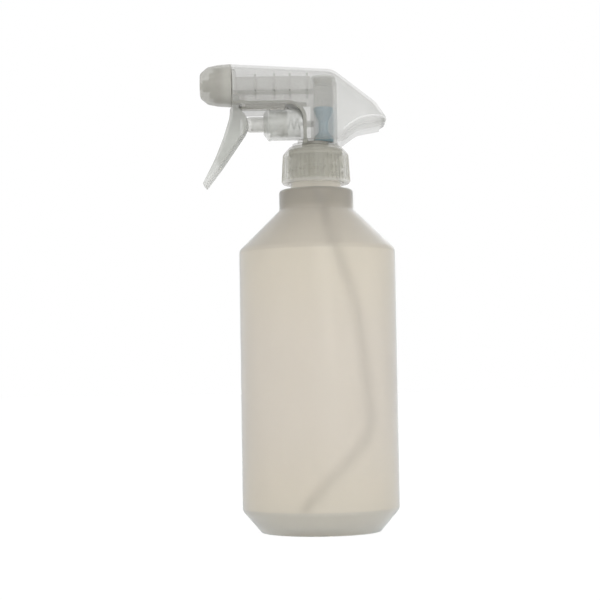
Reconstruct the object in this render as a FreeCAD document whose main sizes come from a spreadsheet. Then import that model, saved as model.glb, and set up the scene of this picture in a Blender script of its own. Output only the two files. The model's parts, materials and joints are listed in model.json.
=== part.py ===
import FreeCAD, Part
import math
import os
import Sketcher

# Trigger spray bottle: a round translucent bottle, a screw closure and a trigger pump head.
# Frame: millimetres, +Z up, origin at the centre of the bottle's base, nozzle towards -X.

DIMENSIONS = [
    # bottle
    ("body_radius", 39.0, "outside of the round body"),
    ("body_wall", 1.2, "wall of the body, shoulder and base"),
    ("body_top", 140.2, "height where the shoulder starts"),
    ("shoulder_angle", 44.5, "slope of the shoulder above level, degrees"),
    ("base_cone_height", 11.0, "height of the cone round the base"),
    ("base_cone_angle", 40.5, "slope of the base cone off upright, degrees"),
    ("ring_width", 5.0, "width of the ring that the bottle stands on"),
    ("push_up", 3.5, "height of the hollow under the base"),
    ("collar_radius", 18.6, "outside of the collar below the neck"),
    ("collar_height", 10.1, "height of the collar"),
    ("neck_radius", 12.6, "outside of the neck, without its thread"),
    ("neck_bore", 10.7, "inside of the neck"),
    ("neck_height", 17.4, "neck above the collar"),
    ("edge_break", 0.4, "small rounding of moulded edges"),
    ("soft_edge", 1.5, "rounding of the collar, the standing ring and the closure"),
    ("shoulder_round", 3.0, "rounding where the shoulder starts"),
    ("base_round", 4.0, "rounding above the base cone"),
    # thread of the neck and closure
    ("thread_pitch", 4.233, "rise of the thread in one turn"),
    ("thread_turns", 1.5, "turns of thread on each side"),
    ("thread_depth", 1.1, "height of the thread ridge"),
    ("thread_start", 9.0, "neck top to the lower end of the neck's thread"),
    ("ridge_share", 0.22, "half of a ridge's root, as a share of the pitch"),
    ("thread_play", 0.5, "radial gap between a ridge and the wall it faces"),
    # closure
    ("closure_gap", 3.1, "collar top to the closure's lower edge"),
    ("closure_foot", 17.3, "radius at the closure's lower edge"),
    ("closure_head", 16.5, "radius below the closure's sloped top"),
    ("closure_crown", 12.9, "radius of the closure's flat top"),
    ("closure_slope", 3.6, "height of the closure's sloped top"),
    ("closure_roof", 1.5, "thickness of the closure's top"),
    ("rib_count", 48, "grip ribs round the closure"),
    ("rib_height", 0.3, "how far a grip rib stands out"),
    ("rib_angle", 3.6, "width of a grip rib, degrees"),
    ("rib_margin", 1.2, "plain band below the grip ribs"),
    # gasket, tube retainer, dip tube, inlet ball
    ("gasket_height", 1.1, "thickness of the neck gasket"),
    ("flange_radius", 13.2, "gasket and retainer flange, outside"),
    ("flange_height", 1.5, "thickness of the retainer flange"),
    ("hub_radius", 6.6, "retainer hub that fits in the pump body"),
    ("hub_height", 4.3, "hub above the retainer flange"),
    ("spigot_radius", 4.2, "tube socket below the flange, outside"),
    ("spigot_height", 11.0, "tube socket below the flange, length"),
    ("tube_radius", 2.4, "dip tube, outside"),
    ("tube_bore", 1.7, "dip tube, inside"),
    ("tube_bow", 24.5, "how far the dip tube bows out"),
    ("tube_reach", 9.5, "tube tip beyond the axis, on the far side"),
    ("tube_straight", 7.5, "straight part of the tube below its socket"),
    ("tube_bend", 24.0, "tightest bend of the dip tube"),
    ("tube_clear", 5.0, "tube tip above the bottle's inner floor"),
    ("ball_radius", 1.9, "inlet ball"),
    ("ball_lift", 0.8, "rise of the inlet ball"),
    ("seat_radius", 1.4, "hole that the inlet ball closes"),
    # pump body
    ("foot_radius", 11.6, "pump body's foot on the closure"),
    ("foot_height", 1.1, "thickness of the foot"),
    ("column_offset", 4.2, "valve column behind the bottle's axis"),
    ("column_radius", 6.4, "valve column, outside"),
    ("column_bore", 4.9, "valve column, inside"),
    ("column_height", 34.8, "valve column above the closure"),
    ("deck_rise", 20.7, "underside of the deck above the closure"),
    ("deck_wall", 1.7, "thickness of the deck and front wall"),
    ("deck_bend", 9.0, "radius where the deck turns down"),
    ("deck_width", 19.2, "width of the deck and its walls"),
    ("front_wall", 5.9, "front wall ahead of the bottle's axis"),
    ("rear_wall", 11.0, "back of the rear wall behind the axis"),
    ("rail_depth", 3.0, "rails below the deck's sides"),
    ("rib_wall", 1.0, "thickness of ribs and webs"),
    ("rib_rise", 36.3, "top of the ribs above the closure"),
    ("duct_rise", 28.4, "outlet duct axis above the closure"),
    ("duct_radius", 2.2, "outlet duct, outside"),
    ("duct_bore", 1.3, "outlet duct, inside"),
    # pump cylinder, rod guide, piston, seal, spring
    ("pump_rise", 11.9, "pump axis above the closure"),
    ("cylinder_radius", 8.2, "pump cylinder, outside"),
    ("cylinder_bore", 6.5, "pump cylinder, inside"),
    ("cylinder_length", 16.6, "pump cylinder"),
    ("cylinder_end", 1.4, "closed end of the pump cylinder"),
    ("port_radius", 1.6, "port from the cylinder to the column"),
    ("port_bore", 0.9, "port, inside"),
    ("guide_length", 3.4, "rod guide"),
    ("guide_radius", 8.5, "rod guide, outside"),
    ("piston_radius", 3.9, "hollow piston rod, outside"),
    ("piston_bore", 3.2, "hollow piston rod, inside"),
    ("piston_head", 5.9, "piston head"),
    ("head_length", 2.0, "thickness of the piston head"),
    ("seal_length", 3.2, "length of the piston seal"),
    ("seal_fit", 0.05, "gap of the seal's lips in the cylinder"),
    ("spring_radius", 2.55, "return spring, to the middle of the wire"),
    ("wire_radius", 0.35, "wire of the return spring"),
    ("spring_turns", 8.0, "turns of the return spring"),
    # trigger
    ("pivot_forward", 39.4, "trigger pivot ahead of the axis"),
    ("pivot_rise", 23.8, "trigger pivot above the closure"),
    ("trunnion_radius", 1.6, "trigger's pins"),
    ("arm_radius", 1.9, "trigger round its pins"),
    ("trigger_drop", 43.8, "trigger pivot down to the trigger's tip"),
    ("trigger_sweep", 17.5, "trigger pivot forward to the trigger's tip"),
    ("trigger_width", 15.0, "trigger"),
    ("trigger_wall", 1.5, "trigger's walls"),
    ("trigger_edge", 1.2, "rounding down the trigger's front"),
    ("push_depth", 3.0, "pivot to the face that pushes the piston"),
    ("trigger_angle", 25.0, "swing of the trigger, degrees"),
    ("push_gap", 0.3, "trigger to the piston's nose"),
    # nozzle
    ("nozzle_rise", 31.9, "nozzle axis above the closure"),
    ("nozzle_tip", 57.6, "front of the nozzle ahead of the axis"),
    ("nozzle_length", 16.0, "nozzle cap"),
    ("nozzle_radius", 10.9, "nozzle cap at its back"),
    ("nozzle_front", 6.2, "nozzle cap at its front face"),
    ("nozzle_wall", 1.4, "walls of the nozzle cap"),
    ("stub_radius", 6.2, "stub that carries the nozzle cap"),
    ("stub_bore", 4.4, "stub, inside"),
    ("stub_length", 10.9, "stub"),
    ("orifice_radius", 0.4, "hole that sprays"),
    # shroud
    ("shroud_fit", 0.2, "gap between the deck's sides and the shroud"),
    ("shroud_wall", 1.2, "wall of the shroud"),
    ("shroud_edge", 4.0, "rounding along the top of the shroud"),
    ("shroud_front", 41.2, "front of the shroud ahead of the axis"),
    ("shroud_rise", 41.4, "top of the shroud's front above the closure"),
    ("shroud_fall", 3.2, "how far the shroud's top falls to its shoulder"),
    ("shroud_shoulder", 9.2, "shoulder of the shroud's top behind the axis"),
    ("shoulder_bend", 10.0, "rounding of that shoulder"),
    ("tail_reach", 36.0, "tail of the shroud behind the axis"),
    ("tail_fall", 20.0, "shroud's top down to the tail's upper bend"),
    ("tail_bend", 12.0, "rounding of the tail's upper bend"),
    ("tail_slant", 5.6, "tail's upper bend ahead of its tip"),
    ("tail_lip", 2.6, "end of the tail's lower edge ahead of its tip"),
    ("tail_low", 21.0, "lowest bend of that edge behind the axis"),
    ("tail_start", 13.5, "where that edge leaves the foot, behind the axis"),
    ("tail_rise", 12.9, "tip of the tail above the closure"),
    ("tail_edge", 8.8, "lower edge of the tail above the closure"),
    ("tail_dip", 2.0, "how far that edge falls towards the bottle"),
    ("hem_height", 3.6, "height of the thicker band along the tail's edge"),
    ("hem_wall", 0.6, "how far the band stands in from the shroud's wall"),
    # clearances
    ("slip_gap", 0.3, "gap between parts that move past each other"),
    ("pin_gap", 0.08, "radial gap round pins and bearings"),
    ("press_gap", 0.05, "gap of parts pushed together"),
]

doc = FreeCAD.newDocument("spray_bottle")
sheet = doc.addObject("Spreadsheet::Sheet", "dims")
for row, (name, number, note) in enumerate(DIMENSIONS, start=1):
    sheet.set(f"A{row}", name)
    sheet.set(f"B{row}", str(number))
    sheet.set(f"C{row}", note)
    sheet.setAlias(f"B{row}", name)
doc.recompute()


# ---------------------------------------------------------------- sizes and sketches

class Size:
    """A size written as a sheet expression, so that sizes can be added and scaled."""

    def __init__(self, text):
        self.text = str(text)

    def __str__(self):
        return self.text

    def __add__(self, other):
        return Size(f"({self} + {other})")

    def __radd__(self, other):
        return Size(f"({other} + {self})")

    def __sub__(self, other):
        return Size(f"({self} - {other})")

    def __rsub__(self, other):
        return Size(f"({other} - {self})")

    def __mul__(self, other):
        return Size(f"({self} * {other})")

    __rmul__ = __mul__

    def __truediv__(self, other):
        return Size(f"({self} / {other})")

    def __neg__(self):
        return Size(f"(0 - {self})")


class Dimensions:
    """Gives each alias of the sheet as a Size."""

    def __getattr__(self, name):
        return Size(f"dims.{name}")


d = Dimensions()


def number(size):
    """The present value of a Size or of a plain number."""
    if isinstance(size, Size):
        found = sheet.evalExpression(size.text)
        return float(getattr(found, "Value", found))
    return float(size)


def tan(angle):
    return Size(f"tan({angle} * 1 deg)")


def sin(angle):
    return Size(f"sin({angle} * 1 deg)")


def cos(angle):
    return Size(f"cos({angle} * 1 deg)")


def root(size):
    return Size(f"sqrt({size})")


def new_body(name):
    body = doc.addObject("PartDesign::Body", name)
    body.Label = name
    return body


def origin_item(body, role):
    return [item for item in body.Origin.OriginFeatures if item.Role == role][0]


def new_sketch(body, plane, shift=(0, 0, 0)):
    """A sketch on an origin plane of the body, shifted along its own x, y and normal."""
    sketch = body.newObject("Sketcher::SketchObject", f"{body.Name}_sketch")
    sketch.AttachmentSupport = [(origin_item(body, plane), "")]
    sketch.MapMode = "FlatFace"
    for axis, size in zip("xyz", shift):
        if isinstance(size, Size):
            sketch.setExpression(f"AttachmentOffset.Base.{axis}", size.text)
    return sketch


def bind(sketch, size, kind, *places):
    """Adds a dimension to the sketch and ties it to the sheet."""
    index = sketch.addConstraint(Sketcher.Constraint(kind, *places, number(size)))
    if isinstance(size, Size):
        sketch.setExpression(f"Constraints[{index}]", size.text)


def place(sketch, geometry, point, across, up):
    bind(sketch, across, "DistanceX", -1, 1, geometry, point)
    bind(sketch, up, "DistanceY", -1, 1, geometry, point)


def corner_cut(before, corner, after, radius):
    """Where an arc of this radius leaves and joins the two sides of a corner."""
    toward = (before - corner).normalize()
    away = (after - corner).normalize()
    half = toward.getAngle(away) / 2
    length = radius / math.tan(half)
    middle = corner + (toward + away).normalize() * (radius / math.sin(half))
    return corner + toward * length, corner + away * length, middle


def draw(sketch, corners, closed=True):
    """Straight sides through the corners; a corner with a third size is rounded by it."""
    spots = [FreeCAD.Vector(number(item[0]), number(item[1]), 0) for item in corners]
    count = len(spots)
    leave = list(spots)
    join = list(spots)
    centres = {}
    for i, item in enumerate(corners):
        if len(item) == 3:
            before = FreeCAD.Vector(spots[i - 1])
            after = FreeCAD.Vector(spots[(i + 1) % count])
            cut = corner_cut(before, FreeCAD.Vector(spots[i]), after, number(item[2]))
            join[i], leave[i], centres[i] = cut
    sides = count if closed else count - 1
    lines = []
    for i in range(sides):
        segment = Part.LineSegment(leave[i], join[(i + 1) % count])
        lines.append(sketch.addGeometry(segment, False))
    for i, item in enumerate(corners):
        first = lines[i - 1] if (closed or i > 0) else None
        second = lines[i] if i < sides else None
        if i in centres:
            round_corner(sketch, item, spots[i], first, second, join[i], leave[i], centres[i])
            continue
        if first is not None and second is not None:
            sketch.addConstraint(Sketcher.Constraint("Coincident", first, 2, second, 1))
        if second is not None:
            place(sketch, second, 1, item[0], item[1])
        else:
            place(sketch, first, 2, item[0], item[1])


def round_corner(sketch, item, spot, first, second, start, end, centre):
    """An arc tangent to both sides of a corner, which stays marked by a point."""
    mark = sketch.addGeometry(Part.Point(spot), True)
    place(sketch, mark, 1, item[0], item[1])
    one = start - centre
    two = end - centre
    left = one.x * two.y - one.y * two.x > 0
    from_angle = math.atan2(one.y, one.x) if left else math.atan2(two.y, two.x)
    to_angle = math.atan2(two.y, two.x) if left else math.atan2(one.y, one.x)
    circle = Part.Circle(centre, FreeCAD.Vector(0, 0, 1), number(item[2]))
    arc = sketch.addGeometry(Part.ArcOfCircle(circle, from_angle, to_angle), False)
    sketch.addConstraint(Sketcher.Constraint("PointOnObject", mark, 1, first))
    sketch.addConstraint(Sketcher.Constraint("PointOnObject", mark, 1, second))
    sketch.addConstraint(Sketcher.Constraint("Tangent", first, 2, arc, 1 if left else 2))
    sketch.addConstraint(Sketcher.Constraint("Tangent", second, 1, arc, 2 if left else 1))
    bind(sketch, item[2], "Radius", arc)


def outline(body, plane, corners, shift=(0, 0, 0)):
    sketch = new_sketch(body, plane, shift)
    draw(sketch, corners)
    return sketch


def circle(body, plane, across, up, radius, shift=(0, 0, 0)):
    sketch = new_sketch(body, plane, shift)
    middle = FreeCAD.Vector(number(across), number(up), 0)
    ring = sketch.addGeometry(Part.Circle(middle, FreeCAD.Vector(0, 0, 1), number(radius)), False)
    place(sketch, ring, 3, across, up)
    bind(sketch, radius, "Radius", ring)
    return sketch


def box_corners(left, bottom, right, top):
    return [(left, bottom), (right, bottom), (right, top), (left, top)]


def finish(feature, **sizes):
    """Ties a feature's own sizes to the sheet and keeps its faces as the cuts leave them."""
    if hasattr(feature, "Refine"):
        feature.Refine = False
    for key, size in sizes.items():
        if isinstance(size, Size):
            feature.setExpression(key, size.text)
        else:
            setattr(feature, key, size)
    return feature


def pad(body, sketch, length, both_ways=False, reverse=False):
    feature = body.newObject("PartDesign::Pad", f"{body.Name}_pad")
    feature.Profile = sketch
    feature.Midplane = both_ways
    feature.Reversed = reverse
    return finish(feature, Length=length)


def pocket(body, sketch, length, both_ways=False, reverse=False):
    feature = body.newObject("PartDesign::Pocket", f"{body.Name}_pocket")
    feature.Profile = sketch
    feature.Midplane = both_ways
    feature.Reversed = reverse
    return finish(feature, Length=length)


def turn(body, sketch, axis, kind="Revolution", angle=360):
    """A Revolution or Groove about one of the sketch's own axes."""
    feature = body.newObject(f"PartDesign::{kind}", f"{body.Name}_{kind.lower()}")
    feature.Profile = sketch
    feature.ReferenceAxis = (sketch, [axis])
    feature.Midplane = angle != 360
    return finish(feature, Angle=angle)


def helix(body, sketch, axis, pitch, height, cut=False):
    kind = "SubtractiveHelix" if cut else "AdditiveHelix"
    feature = body.newObject(f"PartDesign::{kind}", f"{body.Name}_helix")
    feature.Profile = sketch
    feature.ReferenceAxis = (sketch, [axis])
    feature.Mode = 0
    return finish(feature, Pitch=pitch, Height=height)


def polar(body, feature, sketch, axis, count):
    pattern = body.newObject("PartDesign::PolarPattern", f"{body.Name}_pattern")
    pattern.Originals = [feature]
    pattern.Axis = (sketch, [axis])
    pattern.Angle = 360
    finish(pattern, Occurrences=count)
    body.Tip = pattern
    return pattern


# ---------------------------------------------------------------- shared heights and places

collar_base = d.body_top + (d.body_radius - d.collar_radius) * tan(d.shoulder_angle)
collar_top = collar_base + d.collar_height
neck_top = collar_top + d.neck_height
flange_base = neck_top + d.gasket_height
flange_top = flange_base + d.flange_height
roof_base = flange_top + d.slip_gap
closure_top = roof_base + d.closure_roof
closure_base = collar_top + d.closure_gap
shroud_width = d.deck_width + 2 * (d.shroud_fit + d.shroud_wall)
rib_places = (0.27, 0.5, 0.69, 0.9)
foot_base = closure_top + d.slip_gap
foot_top = foot_base + d.foot_height
hub_top = flange_top + d.hub_height
seat_height = hub_top - d.ball_lift - d.ball_radius - d.slip_gap - root(
    d.ball_radius * d.ball_radius - d.seat_radius * d.seat_radius)
deck_base = closure_top + d.deck_rise
deck_top = deck_base + d.deck_wall
column_top = closure_top + d.column_height
rib_top = closure_top + d.rib_rise
duct_height = closure_top + d.duct_rise
pump_height = closure_top + d.pump_rise
tail_edge = closure_top + d.tail_edge
pivot_height = closure_top + d.pivot_rise
pivot_x = -d.pivot_forward
nozzle_height = closure_top + d.nozzle_rise
nozzle_back = d.nozzle_length - d.nozzle_tip
stub_base = nozzle_back + d.slip_gap
stub_front = stub_base - d.stub_length
floor_top = d.push_up + d.body_wall
thread_base = neck_top - d.thread_start
cylinder_back = -d.front_wall
cylinder_front = cylinder_back - d.cylinder_length
nose_centre = pivot_x + d.push_depth + d.push_gap + d.piston_radius
push_drop = d.pivot_rise - d.pump_rise
nose_reach = d.push_depth + d.push_gap + d.piston_radius
stroke = (nose_reach + push_drop * sin(d.trigger_angle)) / cos(d.trigger_angle) - nose_reach
piston_back = cylinder_back - d.cylinder_end - d.slip_gap - stroke


# ---------------------------------------------------------------- bottle and closure

def make_bottle():
    """Blown bottle: push-up base, cones at base and shoulder, collar and threaded neck."""
    body = new_body("bottle")
    wall = d.body_wall
    base_radius = d.body_radius - d.base_cone_height * tan(d.base_cone_angle)
    inner_radius = d.body_radius - wall
    cone_shift = wall * tan(d.base_cone_angle / 2)
    shoulder_shift = wall * tan(d.shoulder_angle / 2)
    floor_radius = inner_radius - (d.base_cone_height + cone_shift - floor_top) * tan(d.base_cone_angle)
    profile = outline(body, "XZ_Plane", [
        (0, d.push_up),
        (base_radius - d.ring_width - d.push_up, d.push_up, d.soft_edge),
        (base_radius - d.ring_width, 0, 2 * d.edge_break),
        (base_radius, 0, d.soft_edge),
        (d.body_radius, d.base_cone_height, d.base_round),
        (d.body_radius, d.body_top, d.shoulder_round),
        (d.collar_radius, collar_base, d.soft_edge),
        (d.collar_radius, collar_top, d.soft_edge),
        (d.neck_radius, collar_top),
        (d.neck_radius, neck_top, d.edge_break),
        (d.neck_bore, neck_top, d.edge_break),
        (d.neck_bore, collar_top - wall),
        (d.collar_radius - wall, collar_top - wall),
        (d.collar_radius - wall, collar_base - shoulder_shift),
        (inner_radius, d.body_top - shoulder_shift, d.shoulder_round - wall),
        (inner_radius, d.base_cone_height + cone_shift, d.base_round - wall),
        (floor_radius, floor_top),
        (0, floor_top),
    ])
    turn(body, profile, "V_Axis")
    ridge = thread_ridge(body, d.neck_radius, 1, thread_base)
    helix(body, ridge, "V_Axis", d.thread_pitch, d.thread_pitch * d.thread_turns)
    return body


def thread_ridge(body, wall_radius, side, height):
    """Section of a thread ridge on a wall; side is 1 outwards and -1 inwards."""
    root_half = d.thread_pitch * d.ridge_share
    crest_half = root_half / 2
    inside = wall_radius - side * d.body_wall / 4
    crest = wall_radius + side * d.thread_depth
    corners = [(inside, height - root_half), (crest, height - crest_half)]
    corners += [(crest, height + crest_half), (inside, height + root_half)]
    return outline(body, "XZ_Plane", corners)


def make_closure():
    """Screw closure with ribs outside, a thread inside and an open top for the head."""
    body = new_body("closure_cap")
    inner = d.neck_radius + d.thread_depth + d.thread_play
    opening = d.hub_radius + d.thread_depth + d.press_gap + d.body_wall + d.slip_gap
    slope_base = closure_top - d.closure_slope
    profile = outline(body, "XZ_Plane", [
        (inner, closure_base),
        (d.closure_foot - d.rib_height, closure_base, 2 * d.edge_break),
        (d.closure_head - d.rib_height, slope_base, d.soft_edge),
        (d.closure_crown, closure_top, 2 * d.edge_break),
        (opening, closure_top),
        (opening, roof_base),
        (d.flange_radius + d.slip_gap, roof_base),
        (d.flange_radius + d.slip_gap, neck_top - d.slip_gap),
        (inner, neck_top - d.slip_gap),
    ])
    turn(body, profile, "V_Axis")
    ridge_height = thread_base - d.thread_pitch / 2
    ridge = thread_ridge(body, inner, -1, ridge_height)
    helix(body, ridge, "V_Axis", d.thread_pitch, d.thread_pitch * d.thread_turns)
    rib = outline(body, "XZ_Plane", [
        (d.closure_foot - d.body_wall, closure_base + d.rib_margin),
        (d.closure_foot, closure_base + d.rib_margin),
        (d.closure_head, slope_base - d.rib_margin / 2),
        (d.closure_head - d.body_wall, slope_base - d.rib_margin / 2),
    ])
    grip = turn(body, rib, "V_Axis", angle=d.rib_angle)
    polar(body, grip, rib, "V_Axis", d.rib_count)
    return body


def make_gasket():
    """Flat ring that seals the neck under the retainer."""
    body = new_body("neck_gasket")
    corners = box_corners(d.neck_bore + d.slip_gap, neck_top, d.flange_radius, flange_base)
    turn(body, outline(body, "XZ_Plane", corners), "V_Axis")
    return body


def make_retainer():
    """Retainer that holds the closure on the head, seats the inlet ball and grips the dip tube."""
    body = new_body("tube_retainer")
    tube_seat = d.tube_radius + d.press_gap
    cage = d.ball_radius + d.slip_gap
    socket_top = flange_base - d.flange_height
    profile = outline(body, "XZ_Plane", [
        (tube_seat, flange_base - d.spigot_height),
        (d.spigot_radius, flange_base - d.spigot_height, d.edge_break),
        (d.spigot_radius, flange_base),
        (d.flange_radius, flange_base),
        (d.flange_radius, flange_top),
        (d.hub_radius, flange_top),
        (d.hub_radius, hub_top, d.edge_break),
        (cage, hub_top),
        (cage, seat_height + d.edge_break),
        (d.seat_radius, seat_height),
        (d.seat_radius, socket_top),
        (tube_seat, socket_top),
    ])
    turn(body, profile, "V_Axis")
    vent_place = (d.hub_radius + d.neck_bore) / 2
    vent = circle(body, "XY_Plane", vent_place, 0, d.ball_radius / 3, (0, 0, flange_base))
    pocket(body, vent, d.flange_height, reverse=True)
    return body


def make_dip_tube():
    """Dip tube: leaves the retainer on the axis, bows out and ends past the axis near the floor."""
    body = new_body("dip_tube")
    top = flange_base - d.flange_height
    low = floor_top + d.tube_clear
    span = d.body_top - low
    route = [
        (0, top),
        (0, flange_base - d.spigot_height - d.tube_straight, d.tube_bend * 5 / 3),
        (d.tube_bow * 0.82, low + span * 0.78, 3 * d.tube_bend),
        (d.tube_bow * 1.1, low + span * 0.3, d.tube_bend),
        (-d.tube_reach, low),
    ]
    path = new_sketch(body, "XZ_Plane")
    draw(path, route, closed=False)
    outer = circle(body, "XY_Plane", 0, 0, d.tube_radius, (0, 0, top))
    inner = circle(body, "XY_Plane", 0, 0, d.tube_bore, (0, 0, top))
    for kind, section in (("AdditivePipe", outer), ("SubtractivePipe", inner)):
        pipe = body.newObject(f"PartDesign::{kind}", f"dip_{kind}")
        pipe.Profile = section
        pipe.Spine = path
    return body


def make_ball():
    """Steel ball that closes the inlet."""
    body = new_body("inlet_ball")
    ball = body.newObject("PartDesign::AdditiveSphere", "ball")
    finish(ball, Radius=d.ball_radius)
    drop = root(d.ball_radius * d.ball_radius - d.seat_radius * d.seat_radius)
    body.setExpression("Placement.Base.z", str(seat_height + drop + d.press_gap))
    return body


# ---------------------------------------------------------------- pump head, fixed parts

def make_pump_body():
    """Frame of the head: foot and hub, valve column, deck, ribs, duct, ears and nozzle stub."""
    body = new_body("pump_body")
    hub_outside = d.hub_radius + d.press_gap + d.thread_depth + d.body_wall
    foot = outline(body, "XZ_Plane", [
        (0, flange_top), (hub_outside, flange_top), (hub_outside, foot_base),
        (d.foot_radius, foot_base), (d.foot_radius, foot_top), (hub_outside, foot_top),
        (hub_outside, hub_top + d.rib_wall), (0, hub_top + d.rib_wall),
    ])
    turn(body, foot, "V_Axis")
    column = circle(body, "XY_Plane", d.column_offset, 0, d.column_radius, (0, 0, foot_base))
    pad(body, column, column_top - foot_base)
    deck = outline(body, "XZ_Plane", [
        (-d.shroud_front, deck_base),
        (-d.front_wall, deck_base, d.deck_bend - d.deck_wall),
        (-d.front_wall, foot_base),
        (d.deck_wall - d.front_wall, foot_base),
        (d.deck_wall - d.front_wall, deck_top, d.deck_bend),
        (-d.shroud_front, deck_top),
    ])
    pad(body, deck, d.deck_width, both_ways=True)
    rail_end = -d.front_wall - d.deck_bend
    rails = outline(body, "XZ_Plane", box_corners(
        pivot_x + d.push_depth, deck_base - d.rail_depth, rail_end, deck_base + d.deck_wall / 2))
    pad(body, rails, d.deck_width, both_ways=True)
    between = outline(body, "XZ_Plane", box_corners(
        pivot_x, deck_base - 2 * d.rail_depth, rail_end + d.rib_wall / 2, deck_base))
    pocket(body, between, d.deck_width - 2 * d.rib_wall, both_ways=True)
    rear = outline(body, "XZ_Plane", box_corners(
        d.rear_wall - d.deck_wall, foot_base, d.rear_wall, column_top - 3 * d.shroud_wall))
    pad(body, rear, d.deck_width, both_ways=True)
    front = stub_base + d.deck_wall / 2
    web = outline(body, "XZ_Plane", box_corners(front, deck_base, d.rear_wall - d.deck_wall / 2, rib_top))
    pad(body, web, d.rib_wall, both_ways=True)
    for share in rib_places:
        left = stub_base + d.shroud_front * share
        rib = outline(body, "XZ_Plane", box_corners(left, duct_height, left + d.rib_wall, rib_top))
        pad(body, rib, d.deck_width - 2 * d.deck_wall, both_ways=True)
    duct = circle(body, "YZ_Plane", 0, duct_height, d.duct_radius, (0, 0, front))
    pad(body, duct, d.column_offset - front)
    make_front(body)
    bore_pump_body(body)
    return body


def make_front(body):
    """Front plate, ears for the trigger's pins and the stub that the nozzle cap turns on."""
    half = d.deck_width / 2
    plate_base = pivot_height + d.arm_radius + d.slip_gap
    plate_top = nozzle_height + d.stub_radius + d.rib_wall
    plate = outline(body, "YZ_Plane", [
        (-half, plate_base), (half, plate_base),
        (half, plate_top, 2 * d.soft_edge), (-half, plate_top, 2 * d.soft_edge),
    ], (0, 0, stub_base))
    pad(body, plate, d.deck_wall)
    stub = circle(body, "YZ_Plane", 0, nozzle_height, d.stub_radius, (0, 0, stub_front))
    pad(body, stub, d.stub_length + d.deck_wall / 2)
    ear_back = pivot_x + d.push_depth + d.deck_wall
    ear_top = pivot_height + d.arm_radius
    ear = outline(body, "XZ_Plane", box_corners(stub_base, deck_base, ear_back, ear_top + d.deck_wall))
    pad(body, ear, d.deck_width, both_ways=True)
    arm_room = outline(body, "XZ_Plane", box_corners(
        stub_base - d.deck_wall, deck_base - d.deck_wall, ear_back, ear_top + d.slip_gap))
    pocket(body, arm_room, d.trigger_width + 2 * d.slip_gap, both_ways=True)


def bore_pump_body(body):
    """Bores: hub, valve column, cylinder port, duct, nozzle stub and the trigger's pin holes."""
    hub = circle(body, "XY_Plane", 0, 0, d.hub_radius + d.press_gap, (0, 0, flange_top))
    pocket(body, hub, d.hub_height + d.press_gap, reverse=True)
    column = circle(body, "XY_Plane", d.column_offset, 0, d.column_bore, (0, 0, hub_top))
    pocket(body, column, column_top - hub_top, reverse=True)
    rim = circle(body, "XY_Plane", d.column_offset, 0, d.column_radius, (0, 0, column_top))
    pocket(body, rim, d.column_radius, reverse=True)
    seat = circle(body, "YZ_Plane", 0, pump_height, d.cylinder_radius + d.press_gap, (0, 0, cylinder_front))
    pocket(body, seat, d.cylinder_length, reverse=True)
    port = circle(body, "YZ_Plane", 0, pump_height, d.port_radius + d.press_gap, (0, 0, -d.front_wall))
    pocket(body, port, d.front_wall + d.column_offset, reverse=True)
    stub = circle(body, "YZ_Plane", 0, nozzle_height, d.stub_bore, (0, 0, stub_front))
    pocket(body, stub, d.stub_length, reverse=True)
    duct = circle(body, "YZ_Plane", 0, duct_height, d.duct_bore, (0, 0, stub_base - d.deck_wall))
    pocket(body, duct, d.column_offset + d.deck_wall - stub_base, reverse=True)
    pins = circle(body, "XZ_Plane", pivot_x, pivot_height, d.trunnion_radius + d.pin_gap)
    pocket(body, pins, d.deck_width + d.slip_gap, both_ways=True)


def make_plug():
    """Plug that closes the top of the valve column."""
    body = new_body("column_plug")
    top = column_top + d.rib_wall
    bore = d.column_bore - d.press_gap
    plug = outline(body, "XZ_Plane", [
        (0, column_top - 3 * d.rib_wall), (bore, column_top - 3 * d.rib_wall), (bore, column_top),
        (d.column_radius - d.body_wall / 2, column_top),
        (d.column_radius - d.body_wall / 2, top, d.edge_break / 2),
        (bore - d.body_wall, top, d.edge_break / 2), (bore - d.body_wall, column_top - d.rib_wall),
        (0, column_top - d.rib_wall),
    ], (d.column_offset, 0, 0))
    turn(body, plug, "V_Axis")
    return body


def make_check_valve():
    """Rubber valve in the column: a foot, a waist that liquid passes and a sealing skirt."""
    body = new_body("check_valve")
    wide = d.column_bore - d.press_gap
    length = d.column_height / 2
    top = hub_top + length
    valve = outline(body, "XZ_Plane", [
        (0, hub_top), (wide, hub_top, d.edge_break), (wide, hub_top + d.rib_wall * 2, d.edge_break),
        (wide / 2, hub_top + length * 0.3, d.rib_wall), (wide / 2, hub_top + length * 0.6, d.rib_wall),
        (wide, top - d.rib_wall * 2, 2 * d.edge_break), (wide, top, d.edge_break / 2),
        (wide - d.rib_wall, top, d.edge_break / 2),
        (wide / 3, top - length * 0.25), (0, top - length * 0.25),
    ], (d.column_offset, 0, 0))
    turn(body, valve, "V_Axis")
    passage = circle(body, "XY_Plane", d.seat_radius, 0, d.seat_radius * 0.8, (0, 0, hub_top))
    pocket(body, passage, length * 0.35, reverse=True)
    return body


def make_cylinder():
    """Pump cylinder: open towards the trigger, with a port into the valve column."""
    body = new_body("pump_cylinder")
    port_end = d.column_offset - d.column_bore
    corners = [
        (cylinder_front, d.cylinder_bore), (cylinder_back - d.cylinder_end, d.cylinder_bore),
        (cylinder_back - d.cylinder_end, d.port_bore), (port_end, d.port_bore),
        (port_end, d.port_radius), (cylinder_back, d.port_radius),
        (cylinder_back, d.cylinder_radius, d.edge_break), (cylinder_front, d.cylinder_radius),
    ]
    turn(body, outline(body, "XZ_Plane", corners, (0, pump_height, 0)), "H_Axis")
    return body


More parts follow.
